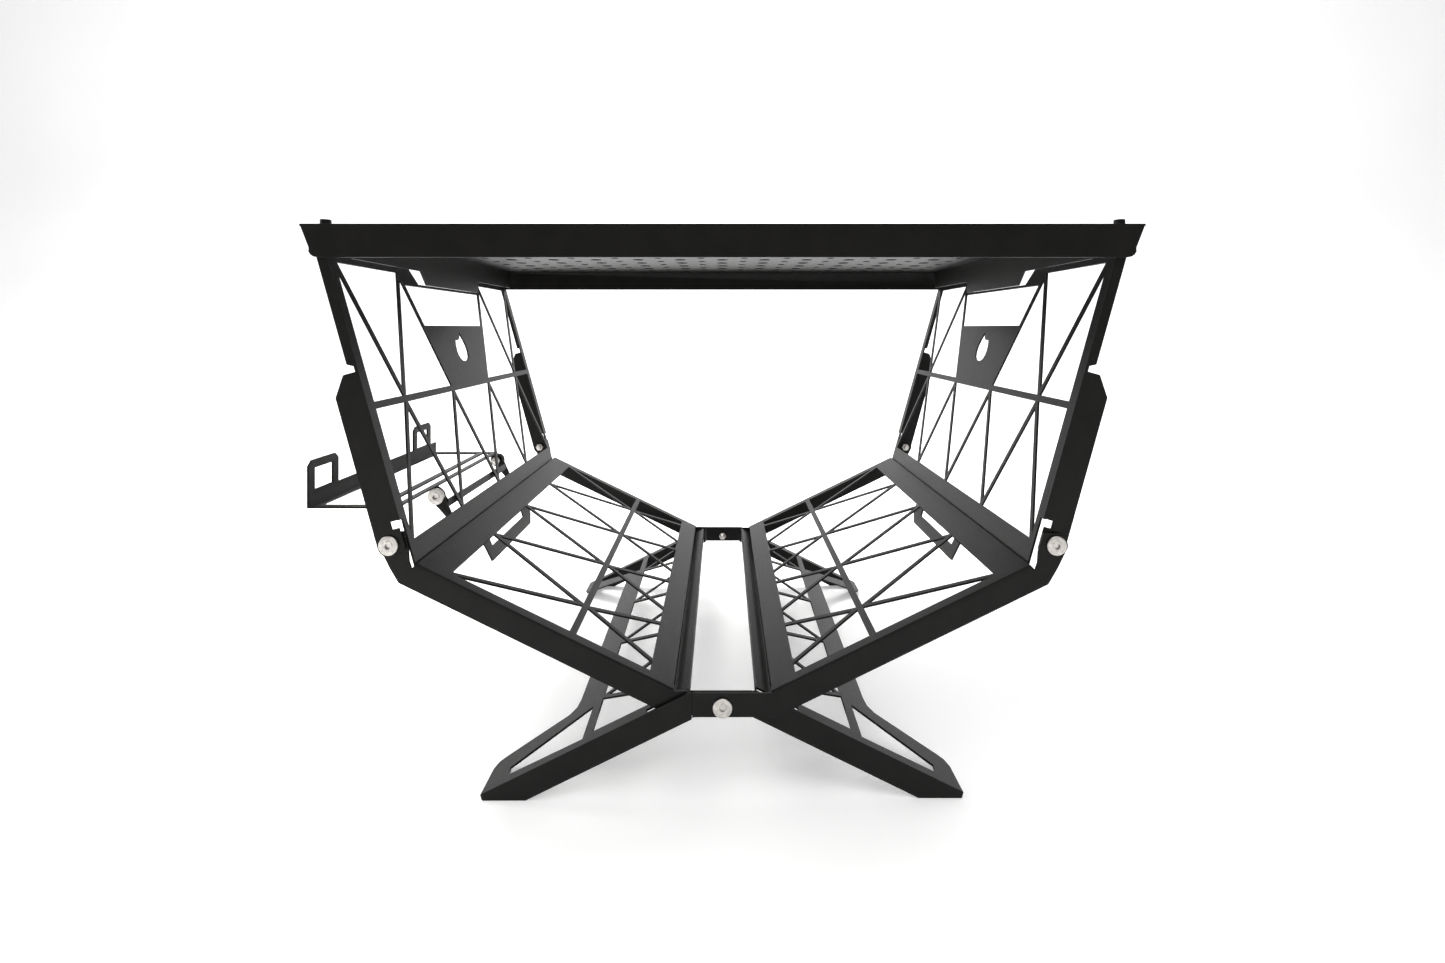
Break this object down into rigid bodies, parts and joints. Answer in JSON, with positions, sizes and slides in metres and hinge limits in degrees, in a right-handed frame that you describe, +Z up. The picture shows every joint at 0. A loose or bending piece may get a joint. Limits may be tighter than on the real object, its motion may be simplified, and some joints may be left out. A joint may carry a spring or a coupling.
{
  "type": "firewood log rack",
  "caption": "Folding sheet-steel firewood rack: crossed legs, truss cradle and side wings, a lift-off shelf on top and a small fold-up side tray with tool hooks.",
  "frame": {"origin": "on the floor, straight below the axis of the two centre bolts, half way between the front and the rear", "axes": "+X to the right as seen from the front, +Y towards the back, +Z up; the side tray is on the -X side"},
  "size_m": [0.759, 0.469, 0.5193],
  "materials": {
    "powder_coat": "matt to satin black powder coat, fine texture",
    "stainless": "turned stainless steel",
    "nylon": "plain black nylon",
    "rubber": "matt black rubber"
  },
  "bodies": {
    "base": {"cradle_right": "powder_coat", "leg_left": "powder_coat", "centre_bolt_front": "stainless", "centre_bolt_rear": "stainless", "centre_nut_front": "stainless", "centre_nut_rear": "stainless", "centre_washer_front": "nylon", "centre_washer_rear": "nylon", "corner_bolt_front_right": "stainless", "corner_bolt_rear_right": "stainless", "corner_nut_front_right": "stainless", "corner_nut_rear_right": "stainless", "corner_washer_front_right": "nylon", "corner_washer_rear_right": "nylon"},
    "cross_half": {"cradle_left": "powder_coat", "leg_right": "powder_coat", "corner_bolt_front_left": "stainless", "corner_bolt_rear_left": "stainless", "corner_nut_front_left": "stainless", "corner_nut_rear_left": "stainless", "corner_washer_front_left": "nylon", "corner_washer_rear_left": "nylon"},
    "wing_right": {"wing_right": "powder_coat", "stop_loop_right": "powder_coat"},
    "wing_left": {"wing_left": "powder_coat", "stop_loop_left": "powder_coat", "tray_bracket_front": "powder_coat", "tray_bracket_rear": "powder_coat", "tray_bolt_front": "stainless", "tray_bolt_rear": "stainless", "tray_nut_front": "stainless", "tray_nut_rear": "stainless"},
    "shelf": {"shelf": "powder_coat", "shelf_side_left": "powder_coat", "shelf_side_right": "powder_coat", "shelf_screw_front_left": "powder_coat", "shelf_screw_front_right": "powder_coat", "shelf_screw_rear_left": "powder_coat", "shelf_screw_rear_right": "powder_coat", "shelf_buffer_front_left": "rubber", "shelf_buffer_front_right": "rubber", "shelf_buffer_rear_left": "rubber", "shelf_buffer_rear_right": "rubber"},
    "side_tray": {"side_tray": "powder_coat"}
  },
  "joints": [
    {"name": "shelf_lift", "type": "slide", "parent": "base", "child": "shelf", "axis": [0, 0, 1], "range_m": [0, 0.44]},
    {"name": "cross_fold", "type": "hinge", "parent": "base", "child": "cross_half", "pos_m": [0, 0, 0.083], "axis": [0, 1, 0], "range_deg": [0, 76]},
    {"name": "wing_right_fold", "type": "hinge", "parent": "base", "child": "wing_right", "pos_m": [0.297, 0, 0.2274], "axis": [0, -1, 0], "range_deg": [0, 108]},
    {"name": "wing_left_fold", "type": "hinge", "parent": "cross_half", "child": "wing_left", "pos_m": [-0.297, 0, 0.2274], "axis": [0, 1, 0], "range_deg": [0, 108]},
    {"name": "tray_fold", "type": "hinge", "parent": "wing_left", "child": "side_tray", "pos_m": [-0.2995, 0, 0.245], "axis": [0, 1, 0], "range_deg": [0, 45]}
  ],
  "couplings": [
    {"joint": "cross_fold", "follows": "shelf_lift", "rad_per_m": 1.507},
    {"joint": "wing_right_fold", "follows": "shelf_lift", "rad_per_m": 1.587},
    {"joint": "wing_left_fold", "follows": "shelf_lift", "rad_per_m": 1.587}
  ]
}
